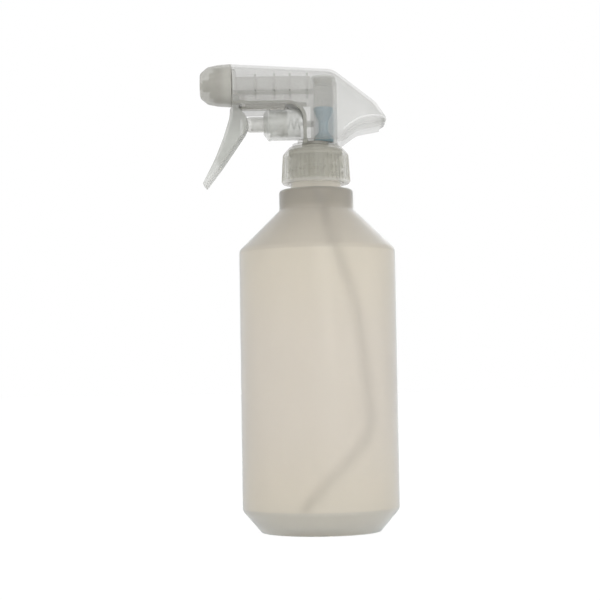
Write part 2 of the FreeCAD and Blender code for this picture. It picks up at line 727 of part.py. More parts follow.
def make_guide():
    """Ring on the front of the cylinder that guides the piston rod."""
    body = new_body("rod_guide")
    bore = d.piston_radius + d.slip_gap
    nose = cylinder_front - d.guide_length
    lip = d.cylinder_bore - d.press_gap
    corners = [
        (nose, bore), (cylinder_front + d.rib_wall, bore), (cylinder_front + d.rib_wall, lip),
        (cylinder_front, lip), (cylinder_front, d.guide_radius),
        (cylinder_front - d.rib_wall, d.guide_radius, d.edge_break / 2),
        (nose, bore + d.rib_wall, d.edge_break / 2),
    ]
    turn(body, outline(body, "XZ_Plane", corners, (0, pump_height, 0)), "H_Axis")
    return body


def shroud_block(name, inset, under):
    """Filled shroud, drawn inset from its top, its tail and its sides, with its long edges rounded."""
    body = new_body(name)
    top = closure_top + d.shroud_rise - inset
    back = d.tail_reach - inset
    side = outline(body, "XZ_Plane", [
        (-d.shroud_front - inset, top),
        (d.shroud_shoulder - inset / 3, top - d.shroud_fall, d.shoulder_bend),
        (back - d.tail_slant, top - d.tail_fall + inset / 3, d.tail_bend),
        (back, closure_top + d.tail_rise, d.tail_bend / 6),
    ] + under)
    block = pad(body, side, shroud_width - 2 * inset, both_ways=True)
    doc.recompute()
    rounding = body.newObject("PartDesign::Fillet", f"{name}_rounding")
    rounding.Base = (block, top_edges(block.Shape))
    finish(rounding, Radius=d.shroud_edge - inset)
    return body


def top_edges(shape):
    """Edges along both sides of the shroud's top, from its front to its tail."""
    box = shape.BoundBox
    level = number(deck_top)
    names = []
    for i, edge in enumerate(shape.Edges, start=1):
        middle = edge.CenterOfMass
        beside = edge.BoundBox.YLength < 0.001
        front = edge.BoundBox.XMax < box.XMin + 0.5
        if beside and middle.z > level and not front:
            names.append(f"Edge{i}")
    return names


def make_shroud():
    """Clear cover: top, sides and hollow tail, open below and in front."""
    front = -d.shroud_front
    outer = shroud_block("shroud_outside", Size(0), [
        (d.tail_reach - d.tail_lip, tail_edge, d.tail_bend / 3),
        (d.tail_low, tail_edge - d.tail_dip, d.tail_bend * 2 / 3), (d.tail_start, foot_top, d.tail_bend / 4),
        (-d.front_wall, foot_top), (-d.front_wall, deck_base, d.deck_bend - d.deck_wall), (front, deck_base),
    ])
    below = foot_top - d.deck_bend
    inner = shroud_block("shroud_inside", d.shroud_wall, [
        (d.tail_reach - d.shroud_wall, below), (front - d.shroud_wall, below),
    ])
    shell = doc.addObject("Part::Cut", "shroud_shell")
    shell.Base = outer
    shell.Tool = inner
    shroud = doc.addObject("Part::Fuse", "shroud")
    shroud.Base = shell
    shroud.Tool = make_hem()
    return shroud


def make_hem():
    """Thicker band inside both sides of the shroud along the tail's lower edge."""
    body = new_body("shroud_hem")
    rise = d.hem_height
    band = outline(body, "XZ_Plane", [
        (d.rear_wall + d.slip_gap, foot_top), (d.tail_start, foot_top, d.tail_bend / 4),
        (d.tail_low, tail_edge - d.tail_dip, d.tail_bend * 2 / 3),
        (d.tail_reach - d.tail_lip - d.rib_wall, tail_edge),
        (d.tail_reach - 2 * d.shroud_wall, tail_edge + rise),
        (d.tail_low - d.rib_wall, tail_edge - d.tail_dip + rise, d.tail_bend * 2 / 3),
        (d.rear_wall + d.slip_gap, foot_top + rise),
    ])
    inside = shroud_width - 2 * d.shroud_wall
    pad(body, band, inside + d.shroud_wall / 2, both_ways=True)
    pocket(body, band, inside - 2 * d.hem_wall, both_ways=True)
    return body


# ---------------------------------------------------------------- pump head, moving parts

def trigger_front(shift):
    """Corners down the trigger's front, shifted back by a wall for its inside."""
    drop = d.trigger_drop
    sweep = d.trigger_sweep
    return [
        (pivot_x + shift - sweep * 0.18, pivot_height - drop * 0.114, d.soft_edge),
        (pivot_x + shift - sweep * 0.185, pivot_height - drop * 0.2, drop * 0.4),
        (pivot_x + shift - sweep * 0.385, pivot_height - drop * 0.45, drop * 1.14),
        (pivot_x + shift - sweep * 0.635, pivot_height - drop * 0.692, drop * 1.6),
        (pivot_x + shift - sweep * 0.98, pivot_height - drop * 0.961),
    ]


def front_edges(shape):
    """Long edges down both sides of the trigger's front, below its arm."""
    limit = number(pivot_height) - number(d.arm_radius)
    names = []
    for i, edge in enumerate(shape.Edges, start=1):
        box = edge.BoundBox
        beside = box.YLength < 0.001
        faces = shape.ancestorsOfType(edge, Part.Face)
        forward = any(face.normalAt(0, 0).x < -0.5 for face in faces)
        if beside and forward and box.ZMax < limit and edge.Length > 2:
            names.append(f"Edge{i}")
    return names


def make_trigger():
    """Trigger: a channel open at the back, with two pins and a cross wall that pushes the piston."""
    body = new_body("trigger")
    drop = d.trigger_drop
    sweep = d.trigger_sweep
    front = trigger_front(0)
    front[-1] += (2 * d.edge_break,)
    arm_front = pivot_x - d.arm_radius
    arm_back = pivot_x + d.arm_radius
    top = pivot_height + d.arm_radius
    side = outline(body, "XZ_Plane", [
        (arm_back, top, d.arm_radius * 0.95), (arm_front, top, d.arm_radius * 0.95),
        (arm_front, pivot_height - drop * 0.078, 2 * d.edge_break),
    ] + front + [
        (pivot_x - sweep * 0.891, pivot_height - drop, d.edge_break),
        (pivot_x - sweep * 0.44, pivot_height - drop * 0.767, drop * 1.6),
        (pivot_x - sweep * 0.091, pivot_height - drop * 0.566, drop * 1.37),
        (pivot_x + sweep * 0.24, pivot_height - drop * 0.374, 2 * d.soft_edge),
        (pivot_x + sweep * 0.343, pivot_height - drop * 0.285, d.soft_edge),
        (pivot_x + sweep * 0.297, pivot_height - drop * 0.205, d.soft_edge),
        (arm_back, pivot_height - drop * 0.091, 2 * d.edge_break),
    ])
    block = pad(body, side, d.trigger_width, both_ways=True)
    doc.recompute()
    rounding = body.newObject("PartDesign::Fillet", "trigger_rounding")
    rounding.Base = (block, front_edges(block.Shape))
    finish(rounding, Radius=d.trigger_edge)
    inner = [item[:2] for item in trigger_front(d.trigger_wall)][:4]
    channel = outline(body, "XZ_Plane", inner + [
        (pivot_x - sweep * 0.457, pivot_height - drop * 0.913),
        (pivot_x + sweep * 0.686, pivot_height - drop * 0.365),
        (pivot_x + sweep * 0.686, pivot_height - drop * 0.114),
    ])
    pocket(body, channel, d.trigger_width - 2 * d.trigger_wall, both_ways=True)
    push_face = pivot_x + d.push_depth
    push_base = pump_height - d.piston_head - d.slip_gap
    cross = outline(body, "XZ_Plane", box_corners(
        push_face - d.trigger_wall, push_base, push_face, pump_height + d.piston_radius))
    pad(body, cross, d.trigger_width - d.trigger_wall, both_ways=True)
    pins = circle(body, "XZ_Plane", pivot_x, pivot_height, d.trunnion_radius)
    pad(body, pins, d.deck_width - 2 * d.pin_gap, both_ways=True)
    return body


def make_piston():
    """Hollow piston: a round nose for the trigger, a rod, a head and a spigot for its seal."""
    body = new_body("piston")
    nose = nose_centre
    head = piston_back - d.seal_length - d.head_length
    seat = d.piston_radius + d.wire_radius
    corners = [
        (nose - d.piston_radius, 0),
        (nose - d.piston_radius, d.piston_radius, d.piston_radius - 2 * d.press_gap),
        (head, d.piston_radius), (head, d.piston_head, d.edge_break / 2),
        (head + d.head_length, d.piston_head),
        (head + d.head_length, seat), (piston_back, seat, d.edge_break / 2), (piston_back, d.piston_bore),
        (nose, d.piston_bore), (nose, 0),
    ]
    turn(body, outline(body, "XZ_Plane", corners, (0, pump_height, 0)), "H_Axis")
    return body


def make_piston_seal():
    """Soft seal on the piston's spigot, with a lip at each end that runs in the cylinder."""
    body = new_body("piston_seal")
    start = piston_back - d.seal_length
    bore = d.piston_radius + d.wire_radius + d.press_gap
    lip = d.cylinder_bore - d.seal_fit
    edge = d.seal_length / 4
    waist = lip - edge
    corners = [
        (start, bore), (piston_back, bore), (piston_back, lip), (piston_back - edge, lip),
        (piston_back - edge * 1.6, waist), (start + edge * 1.6, waist), (start + edge, lip), (start, lip),
    ]
    turn(body, outline(body, "XZ_Plane", corners, (0, pump_height, 0)), "H_Axis")
    return body


def make_spring():
    """Return spring inside the hollow piston, against the closed end of the cylinder."""
    body = new_body("return_spring")
    start = nose_centre + d.wire_radius
    length = cylinder_back - d.cylinder_end - d.wire_radius - start
    wire = circle(body, "XZ_Plane", start, d.spring_radius, d.wire_radius, (0, pump_height, 0))
    helix(body, wire, "H_Axis", length / d.spring_turns, length)
    return body


def make_nozzle_cap():
    """Nozzle cap: a tapered outer wall, an inner sleeve that turns on the stub and a front wall."""
    body = new_body("nozzle_cap")
    front = -d.nozzle_tip
    sleeve = d.stub_radius + d.slip_gap
    face = stub_front - 2 * d.slip_gap
    cup = d.stub_bore - d.nozzle_wall
    sleeve_back = stub_base - d.nozzle_wall * 2.4
    rim = d.nozzle_radius
    corners = [
        (front, d.orifice_radius * 5), (front, d.nozzle_front, rim * 0.18),
        (front + d.nozzle_length * 0.24, rim * 0.86, rim * 0.36),
        (front + d.nozzle_length * 0.55, rim * 0.95, rim * 0.9), (nozzle_back, rim, d.edge_break / 2),
        (nozzle_back, rim - d.nozzle_wall), (front + d.nozzle_length * 0.42, rim * 0.92 - d.nozzle_wall),
        (front + d.nozzle_length * 0.42, sleeve + d.nozzle_wall), (sleeve_back, sleeve + d.nozzle_wall),
        (sleeve_back, sleeve), (face, sleeve), (face, cup), (front + d.nozzle_wall, cup),
        (front + d.nozzle_wall, d.orifice_radius * 3),
    ]
    turn(body, outline(body, "XZ_Plane", corners, (0, nozzle_height, 0)), "H_Axis")
    return body


def make_orifice_cup():
    """Cup pressed into the nozzle cap, with the hole that sprays."""
    body = new_body("orifice_cup")
    front = d.nozzle_wall - d.nozzle_tip
    back = stub_front - 2 * d.slip_gap
    rim = d.stub_bore - d.nozzle_wall - d.press_gap
    hollow = rim - d.rib_wall
    corners = [
        (front, d.orifice_radius), (front, rim, d.edge_break / 2), (back, rim), (back, hollow),
        (front + d.rib_wall, hollow), (front + d.rib_wall, d.orifice_radius),
    ]
    turn(body, outline(body, "XZ_Plane", corners, (0, nozzle_height, 0)), "H_Axis")
    return body


def make_spinner():
    """Insert in the stub that swirls the liquid; four slots along it let the liquid pass."""
    body = new_body("spinner")
    length = d.stub_length * 0.55
    rim = d.stub_bore - d.press_gap
    disc = circle(body, "YZ_Plane", 0, nozzle_height, rim, (0, 0, stub_front))
    pad(body, disc, length)
    slot = outline(body, "YZ_Plane", box_corners(
        rim - d.rib_wall, -d.rib_wall / 2, rim + d.rib_wall, d.rib_wall / 2), (0, nozzle_height, stub_front))
    cut = pocket(body, slot, length, reverse=True)
    polar(body, cut, slot, "N_Axis", 4)
    return body


def make_nozzle_seal():
    """Ring on the stub that seals the nozzle cap's sleeve."""
    body = new_body("nozzle_seal")
    middle = stub_front + d.stub_length * 0.35
    half = d.rib_wall / 2
    rim = d.stub_radius + d.slip_gap - d.press_gap
    corners = box_corners(middle - half, d.stub_radius, middle + half, rim)
    turn(body, outline(body, "XZ_Plane", corners, (0, nozzle_height, 0)), "H_Axis")
    return body


# ---------------------------------------------------------------- build, check and write

PARTS = [
    make_bottle(), make_closure(), make_gasket(), make_retainer(), make_dip_tube(), make_ball(),
    make_pump_body(), make_plug(), make_check_valve(), make_cylinder(), make_guide(), make_shroud(),
    make_trigger(), make_piston(), make_piston_seal(), make_spring(), make_nozzle_cap(),
    make_orifice_cup(), make_spinner(), make_nozzle_seal(),
]
doc.recompute()

for item in doc.Objects:
    if "Invalid" in item.State or "Error" in item.State:
        raise RuntimeError(f"{item.Label} failed: {item.State}")
for part in PARTS:
    if part.Shape.isNull() or not part.Shape.isValid() or len(part.Shape.Solids) != 1:
        raise RuntimeError(f"{part.Label} has no single valid solid")

os.makedirs("parts", exist_ok=True)
for part in PARTS:
    part.Shape.exportStep(f"parts/{part.Label}.step")
    box = part.Shape.BoundBox
    print(f"{part.Label:14s} volume {part.Shape.Volume:10.2f}  X {box.XMin:7.2f} {box.XMax:7.2f}"
          f"  Y {box.YMin:7.2f} {box.YMax:7.2f}  Z {box.ZMin:7.2f} {box.ZMax:7.2f}")
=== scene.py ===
import json
import math

import bpy
from mathutils import Matrix, Vector


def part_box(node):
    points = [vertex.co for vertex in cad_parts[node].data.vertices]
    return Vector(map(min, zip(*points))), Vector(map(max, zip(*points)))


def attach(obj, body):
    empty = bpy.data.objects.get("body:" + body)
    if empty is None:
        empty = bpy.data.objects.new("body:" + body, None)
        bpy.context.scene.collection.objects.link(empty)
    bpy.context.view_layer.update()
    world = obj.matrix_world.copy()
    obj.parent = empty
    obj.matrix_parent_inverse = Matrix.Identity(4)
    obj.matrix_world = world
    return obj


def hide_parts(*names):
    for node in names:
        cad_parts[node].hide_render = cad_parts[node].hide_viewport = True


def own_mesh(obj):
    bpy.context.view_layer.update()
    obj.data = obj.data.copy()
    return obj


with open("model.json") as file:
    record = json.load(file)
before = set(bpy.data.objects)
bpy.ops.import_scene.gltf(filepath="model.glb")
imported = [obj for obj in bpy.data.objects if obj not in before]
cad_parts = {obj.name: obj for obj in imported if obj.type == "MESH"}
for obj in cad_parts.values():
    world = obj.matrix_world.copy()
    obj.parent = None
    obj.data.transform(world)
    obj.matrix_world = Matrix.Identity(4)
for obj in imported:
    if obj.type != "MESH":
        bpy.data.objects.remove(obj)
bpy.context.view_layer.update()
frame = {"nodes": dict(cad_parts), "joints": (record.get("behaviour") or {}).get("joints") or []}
nodes = frame["nodes"]

# ---- Bottle -----------------------------------------------------------------
# Extrusion-blown from natural polyethylene, left without pigment. The wall is
# milky, waxy and a little uneven, thickest at the collar and the base, and a
# fine seam runs up each side where the halves of the mould met. Its colour also
# holds painted shade on the base chamfer, the shoulder, the collar and the
# threaded neck, and a painted glow on the bare neck.


class Share:
    """A number that changes over a surface; sums and products of it add Math nodes."""

    def __init__(self, board, socket):
        self.board, self.socket = board, socket

    def reckon(self, operation, first, second):
        settings, values = {"operation": operation}, {0: first, 1: second}
        return Share(self.board, self.board.node("ShaderNodeMath", settings, values))

    def __add__(self, other):
        return self.reckon("ADD", self, other)

    def __sub__(self, other):
        return self.reckon("SUBTRACT", self, other)

    def __rsub__(self, other):
        return self.reckon("SUBTRACT", other, self)

    def __mul__(self, other):
        return self.reckon("MULTIPLY", self, other)

    __radd__ = __add__
    __rmul__ = __mul__

    def size(self):
        return self.reckon("ABSOLUTE", self, 0.0)

    def or_more(self, other):
        return self.reckon("MAXIMUM", self, other)

    def rises(self, start, end):
        """0 before start, 1 after end, and a smooth change between them."""
        settings = {"interpolation_type": "SMOOTHSTEP"}
        values = {0: self, 1: start, 2: end, 3: 0.0, 4: 1.0}
        return Share(self.board, self.board.node("ShaderNodeMapRange", settings, values))

    def past(self, place, soft):
        """0 before a place and 1 after it, blurred by soft to either side."""
        return self.rises(place - soft, place + soft)

    def within(self, start, end, soft):
        """1 between start and end and 0 outside them, blurred by soft at both."""
        return self.past(start, soft) * (1 - self.past(end, soft))


class Board:
    """Nodes and links on one node tree."""

    def __init__(self, tree):
        self.tree = tree

    def node(self, kind, settings, sockets, output=0):
        """Adds a node: its settings first, then a value or a link for each socket."""
        made = self.tree.nodes.new(kind)
        for name, value in settings.items():
            setattr(made, name, value)
        for name, value in sockets.items():
            value = value.socket if isinstance(value, Share) else value
            if isinstance(value, bpy.types.NodeSocket):
                self.tree.links.new(value, made.inputs[name])
            else:
                made.inputs[name].default_value = value
        return made.outputs[output]

    def seen_rays(self):
        """1 for rays from the camera, straight or by way of gloss and clear plastic."""
        kinds = self.node("ShaderNodeLightPath", {}, {}).node.outputs
        direct = Share(self, kinds["Is Camera Ray"])
        by_gloss = Share(self, kinds["Is Glossy Ray"])
        return direct.or_more(by_gloss).or_more(Share(self, kinds["Is Transmission Ray"]))


class Finish(Board):
    """A material, built node by node around one Principled shader."""

    def __init__(self, name, **constants):
        self.material = bpy.data.materials.new(name)
        self.material.use_nodes = True
        super().__init__(self.material.node_tree)
        self.surface = self.tree.nodes["Principled BSDF"]
        for socket, value in constants.items():
            self.surface.inputs[socket].default_value = value
        self.points = self.node("ShaderNodeTexCoord", {}, {}, "Object")

    def along(self, axis):
        """Distance along X, Y or Z, in metres."""
        return Share(self, self.node("ShaderNodeSeparateXYZ", {}, {0: self.points}, axis))

    def grain(self, scale, detail=3.0, stretch=(1, 1, 1)):
        """Soft noise from 0 to 1; a small stretch draws it out along that axis."""
        mapped = self.node("ShaderNodeMapping", {}, {0: self.points, "Scale": stretch})
        values = {"Vector": mapped, "Scale": scale, "Detail": detail}
        return Share(self, self.node("ShaderNodeTexNoise", {}, values))

    def blend(self, share, first, second):
        """A colour between two others."""
        pair = [
            colour if isinstance(colour, bpy.types.NodeSocket) else (*colour, 1.0)
            for colour in (first, second)
        ]
        values = {0: share, 6: pair[0], 7: pair[1]}
        return self.node("ShaderNodeMix", {"data_type": "RGBA"}, values, 2)

    def tint(self, colour, *layers):
        """Lays other colours over a colour, each given with its share."""
        for share, over in layers:
            colour = self.blend(share, colour, over)
        return colour

    def feed_surface(self, colour, roughness, relief, depth, alpha=None):
        """Feeds colour, roughness, a bump of that depth in metres and, if clear, alpha."""
        values = {"Height": relief, "Distance": depth, "Strength": 0.5}
        fed = {
            "Base Color": colour,
            "Roughness": roughness.socket,
            "Normal": self.node("ShaderNodeBump", {}, values, "Normal"),
        }
        if alpha is not None:
            fed["Alpha"] = alpha.socket
        for socket, value in fed.items():
            self.tree.links.new(value, self.surface.inputs[socket])
        return self.material


def coat(material, *names):
    """Puts a finish on CAD nodes."""
    for name in names:
        nodes[name].data.materials.clear()
        nodes[name].data.materials.append(material)


def natural_polyethylene():
    milk = Finish(
        "natural_polyethylene",
        **{
            "Transmission Weight": 0.62,
            "IOR": 1.28,
            "Sheen Weight": 0.6,
            "Sheen Roughness": 0.36,
            "Sheen Tint": (0.90, 0.96, 1.0, 1.0),
            # Strength of the painted glow on the bare neck.
            "Emission Strength": 0.14,
        },
    )
    base_cone_top = 0.0119
    thin_low, thin_high = 0.030, 0.115
    shoulder_foot, shoulder_edge, shoulder_head = 0.1380, 0.1387, 0.1580
    collar_thick = 0.1640
    bare_neck, thread_foot = 0.1710, 0.1745

    height = milk.along("Z")
    # Painted shade on the base chamfer, which faces down.
    chamfer_shade = 1 - height.past(base_cone_top, soft=0.0005)
    ends = 1 - height.within(thin_low, thin_high, soft=0.028)
    # Painted shade on the shoulder cone and just below its edge.
    slope = height.rises(shoulder_foot, shoulder_head)
    shoulder_shade = height.past(shoulder_edge, soft=0.0005) * 0.6 + slope * 0.4
    # The collar is darker for its thick wall and for painted shade of the neck inside it.
    collar_wall_and_shade = height.rises(shoulder_head, collar_thick)
    # The threaded neck is darker with painted shade under the closure, and clearer.
    thread = height.past(thread_foot, soft=0.0007)
    # Painted glow on the bare neck between collar and thread, lifting its shade.
    glow = height.within(bare_neck, thread_foot, soft=0.0004)
    seam = 1 - milk.along("Y").size().rises(0.00005, 0.0004)

    cloud = milk.grain(scale=34, detail=2.0, stretch=(1, 1, 0.3))
    streak = milk.grain(scale=170, detail=2.0, stretch=(1, 1, 0.06))
    haze = milk.grain(scale=420)
    colour = milk.tint(
        milk.blend(cloud, (0.87, 0.825, 0.755), (0.93, 0.89, 0.825)),
        (ends * 0.5, (0.90, 0.855, 0.745)),
        (shoulder_shade * 0.95, (0.73, 0.69, 0.62)),
        (collar_wall_and_shade * 0.9, (0.56, 0.53, 0.47)),
        (thread * 0.9, (0.50, 0.48, 0.41)),
        (chamfer_shade * 0.8, (0.80, 0.785, 0.735)),
    )
    # The bare neck glows with a painted warm light.
    painted_neck_glow = milk.blend(glow, (0, 0, 0), (1.0, 0.96, 0.88))
    milk.tree.links.new(painted_neck_glow, milk.surface.inputs["Emission Color"])
    relief = cloud * 0.5 + streak * 0.15 + haze * 0.08 + seam * 0.25
    return milk.feed_surface(colour, 0.26 + haze * 0.10, relief, depth=0.0008, alpha=1 - thread * 0.45)


coat(natural_polyethylene(), "bottle")

# ---- Neck gasket --------------------------------------------------------------
# Ring punched from foamed polyethylene sheet, pressed between the neck and the
# head by the closure. It has a skin of fine cells on its cut edges.


def foamed_sheet():
    foam = Finish("foamed_sheet")
    cells = foam.grain(scale=1400, detail=2.0)
    colour = foam.blend(cells, (0.40, 0.39, 0.35), (0.58, 0.56, 0.51))
    return foam.feed_surface(colour, 0.7 + cells * 0.2, cells, depth=0.0003)


coat(foamed_sheet(), "neck_gasket")

# ---- Dip tube, its retainer and the ball ----------------------------------------
# The tube is extruded polyethylene with die lines along it, pushed up into the
# moulded retainer, which also cages a steel ball over the inlet.


def tube_polyethylene():
    pipe = Finish("tube_polyethylene", IOR=1.5)
    lines = pipe.grain(scale=260, detail=2.0, stretch=(1, 1, 0.04))
    colour = pipe.blend(lines, (0.36, 0.34, 0.30), (0.48, 0.46, 0.41))
    return pipe.feed_surface(colour, 0.30 + lines * 0.15, lines, depth=0.0002)


def retainer_polypropylene():
    part = Finish("retainer_polypropylene", IOR=1.5)
    flow = part.grain(scale=260)
    colour = part.blend(flow, (0.32, 0.31, 0.27), (0.40, 0.39, 0.34))
    return part.feed_surface(colour, 0.3 + flow * 0.15, flow, depth=0.0001)


def bright_steel():
    steel = Finish("bright_steel", Metallic=1.0)
    scuff = steel.grain(scale=2500)
    colour = steel.blend(scuff, (0.52, 0.52, 0.53), (0.66, 0.66, 0.68))
    return steel.feed_surface(colour, 0.14 + scuff * 0.16, scuff, depth=0.00003)


coat(tube_polyethylene(), "dip_tube")
coat(retainer_polypropylene(), "tube_retainer")
coat(bright_steel(), "inlet_ball")

# ---- Closure ------------------------------------------------------------------
# Ribbed screw cap, injection-moulded from natural polypropylene. It is clear
# enough to show the neck and its thread, and its plain lower edge is paler with
# painted light shining through it.


def closure_polypropylene():
    cap = Finish("closure_polypropylene", IOR=1.5)
    rib_foot, rim = 0.1751, 0.1867
    height = cap.along("Z")
    # Painted light through the thin plain hem makes it paler.
    hem = 1 - height.past(rib_foot, soft=0.0009)
    crown = height.past(rim, soft=0.0005)
    flow = cap.grain(scale=110, stretch=(1, 1, 0.4))
    colour = cap.tint(
        cap.blend(flow, (0.54, 0.53, 0.455), (0.62, 0.61, 0.53)),
        (crown * 0.15, (0.44, 0.43, 0.38)),
        (hem * 0.7, (0.90, 0.88, 0.82)),
    )
    return cap.feed_surface(colour, 0.34 + flow * 0.14, flow, depth=0.0001, alpha=0.32 + flow * 0.08)


coat(closure_polypropylene(), "closure_cap")

# ---- Pump body, cylinder, rod guide, plug and valve -----------------------------
# The body is one moulding in clear polypropylene. Painted shade darkens its deck,
# front wall and ribs where they are seen edge-on. The cylinder, guide and plug are
# pushed into it, and the blue rubber valve stands in its column, with a painted
# blue cast round it on the body.


def clear_moulding(name, dark, light, alpha):
    """The finish of a clear part, with its flow marks, colour and alpha."""
    part = Finish(name, IOR=1.5)
    flow = part.grain(scale=150)
    return part, flow, part.blend(flow, dark, light), alpha + flow * 0.08


def pump_polypropylene():
    part, flow, colour, alpha = clear_moulding(
        "pump_polypropylene", dark=(0.41, 0.40, 0.35), light=(0.49, 0.48, 0.43), alpha=0.22
    )
    deck_under, deck_top, deck_end = 0.2136, 0.2150, -0.0075
    wall_front, wall_back, wall_foot, wall_head = -0.0062, -0.0039, 0.1930, 0.2105
    bend_front, bend_back, bend_foot = -0.0135, -0.0040, 0.2060
    rib_places = (-0.0297, -0.0202, -0.0124, -0.0037)
    rib_half, rib_foot, rib_head = 0.0006, 0.2170, 0.2268
    column_front, column_back = 0.0030, 0.0112
    valve_front, valve_back, valve_foot, valve_head = 0.0000, 0.0106, 0.1970, 0.2118

    across, height = part.along("X"), part.along("Z")
    # Painted shade where the deck, the front wall, its bend and the ribs are seen edge-on; these are
    # also less clear.
    deck = height.within(deck_under, deck_top, soft=0.0002) * (1 - across.past(deck_end, soft=0.0015))
    wall = across.within(wall_front, wall_back, soft=0.0003) * height.past(wall_foot, soft=0.0005)
    wall = wall * (1 - height.past(wall_head, soft=0.0015))
    bend = across.within(bend_front, bend_back, soft=0.0005)
    bend = bend * height.within(bend_foot, deck_top, soft=0.0005)
    painted_edge_shade = deck.or_more(wall).or_more(bend * 0.65)
    for rib in rib_places:
        line = across.within(rib - rib_half, rib + rib_half, soft=0.0005)
        painted_edge_shade = painted_edge_shade.or_more(line * height.within(rib_foot, rib_head, soft=0.0005) * 0.25)
    column = across.within(column_front, column_back, soft=0.0004)
    # Painted blue cast of the valve on the body round it.
    painted_valve_blue = across.within(valve_front, valve_back, soft=0.0014)
    painted_valve_blue = painted_valve_blue * height.within(valve_foot, valve_head, soft=0.0016)
    colour = part.tint(
        colour,
        (painted_edge_shade * 0.85, (0.27, 0.27, 0.22)),
        (column * 0.15, (0.26, 0.30, 0.30)),
        (painted_valve_blue * 0.5, (0.30, 0.52, 0.66)),
    )
    alpha = alpha + painted_edge_shade * 0.58 + column * 0.04 + painted_valve_blue * 0.05
    return part.feed_surface(colour, 0.26 + flow * 0.14, flow, depth=0.0002, alpha=alpha)


def cylinder_polypropylene():
    part, flow, colour, alpha = clear_moulding(
        "cylinder_polypropylene", dark=(0.72, 0.73, 0.69), light=(0.82, 0.83, 0.79), alpha=0.32
    )
    return part.feed_surface(colour, 0.22 + flow * 0.12, flow, depth=0.00004, alpha=alpha)


def valve_rubber():
    valve = Finish("valve_rubber")
    bloom = valve.grain(scale=500)
    colour = valve.blend(bloom, (0.20, 0.52, 0.70), (0.28, 0.60, 0.77))
    return valve.feed_surface(colour, 0.5 + bloom * 0.2, bloom, depth=0.0001)


coat(pump_polypropylene(), "pump_body")
coat(cylinder_polypropylene(), "pump_cylinder", "rod_guide", "column_plug")
coat(valve_rubber(), "check_valve")

# ---- Shroud -------------------------------------------------------------------
# Clear cover that snaps over the pump body and forms the tail that rests on the
# hand. Its thin wall is even, so only its edges and the pale lip of the hem
# under the tail show as lines, and the plastic is thickest at the tip.


def shroud_polypropylene():
    part, flow, colour, alpha = clear_moulding(
        "shroud_polypropylene", dark=(0.43, 0.428, 0.395), light=(0.51, 0.508, 0.47), alpha=0.17
    )
    tip_start, tip_full = 0.0325, 0.0350
    tail_start, hem_foot, hem_slope, hem_curve = 0.0135, 0.1994, 0.938, 31.0
    across, height = part.along("X"), part.along("Z")
    tip = across.rises(tip_start, tip_full)
    reach = across - tail_start
    over_hem = height - (hem_foot + reach * hem_slope - reach * reach * hem_curve)
    tail = across.past(tail_start, soft=0.001)
    hem = tail * (1 - over_hem.past(0, soft=0.0004))
    lip = tail * (1 - over_hem.size().rises(0.0002, 0.0009))
    colour = part.tint(colour, (tip * 0.6, (0.36, 0.36, 0.32)), (lip * 0.7, (0.92, 0.92, 0.91)))
    alpha = alpha + tip * 0.15 + hem * 0.03 + lip * 0.10
    return part.feed_surface(colour, 0.16 + flow * 0.12, flow, depth=0.0002, alpha=alpha)


coat(shroud_polypropylene(), "shroud")

# ---- Trigger ------------------------------------------------------------------
# Lever moulded as a channel, open at the back, that turns on two pins under the
# front of the deck. It is satin from handling, darker at its top with painted
# shade under the deck, and paler at its thin tip with painted light through it.


def trigger_polypropylene():
    lever = Finish("trigger_polypropylene", IOR=1.5)
    tip_full, tip_end = 0.173, 0.187
    top_start, top_full = 0.195, 0.212
    height = lever.along("Z")
    # Painted light: the thin tip is paler.
    tip = 1 - height.rises(tip_full, tip_end)
    # Painted shade under the deck darkens the top.
    under_deck_shade = height.rises(top_start, top_full)
    flow = lever.grain(scale=100)
    rub = lever.grain(scale=900, detail=4.0)
    colour = lever.tint(
        lever.blend(flow, (0.56, 0.57, 0.53), (0.65, 0.66, 0.62)),
        (under_deck_shade * 0.7, (0.38, 0.38, 0.35)),
        (tip * 0.7, (0.84, 0.85, 0.82)),
    )
    roughness = 0.34 + flow * 0.1 + rub * 0.08
    return lever.feed_surface(colour, roughness, flow, depth=0.0001, alpha=0.50 + flow * 0.1)


coat(trigger_polypropylene(), "trigger")

# ---- Piston, its seal and the spring ----------------------------------------------
# The hollow piston slides in the cylinder with a soft seal on its spigot, and a
# spring of stainless wire inside it pushes it back out.


def piston_polyethylene():
    part, flow, colour, alpha = clear_moulding(
        "piston_polyethylene", dark=(0.84, 0.84, 0.80), light=(0.92, 0.92, 0.88), alpha=0.42
    )
    return part.feed_surface(colour, 0.28 + flow * 0.12, flow, depth=0.00004, alpha=alpha)


def seal_rubber():
    seal = Finish("seal_rubber")
    bloom = seal.grain(scale=700)
    colour = seal.blend(bloom, (0.52, 0.51, 0.47), (0.64, 0.63, 0.58))
    return seal.feed_surface(colour, 0.45 + bloom * 0.2, bloom, depth=0.0001)


coat(piston_polyethylene(), "piston")
coat(seal_rubber(), "piston_seal", "nozzle_seal")

spring_low, spring_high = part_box("return_spring")
free_length = spring_high.x - spring_low.x
spring_axis = (spring_low.z + spring_high.z) / 2
wire_radius = 0.00035
turns = 8
coil_radius = (spring_high.y - spring_low.y) / 2 - wire_radius
bpy.ops.object.select_all(action="DESELECT")
bpy.ops.mesh.primitive_circle_add(
    vertices=10,
    radius=wire_radius,
    fill_type="NOTHING",
    location=(coil_radius, 0, 0),
    rotation=(math.pi / 2, 0, 0),
)
coil = bpy.context.object
coil.name = "coil_spring"
bpy.ops.object.transform_apply(location=True, rotation=True, scale=True)
wind = coil.modifiers.new("wind", "SCREW")
wind.axis = "Z"
wind.iterations = turns
wind.steps = wind.render_steps = 28
wind.screw_offset = (free_length - 2 * wire_radius) / turns
wind.use_merge_vertices = False
bpy.ops.object.modifier_apply(modifier="wind")
bpy.ops.object.mode_set(mode="EDIT")
bpy.ops.mesh.select_all(action="SELECT")
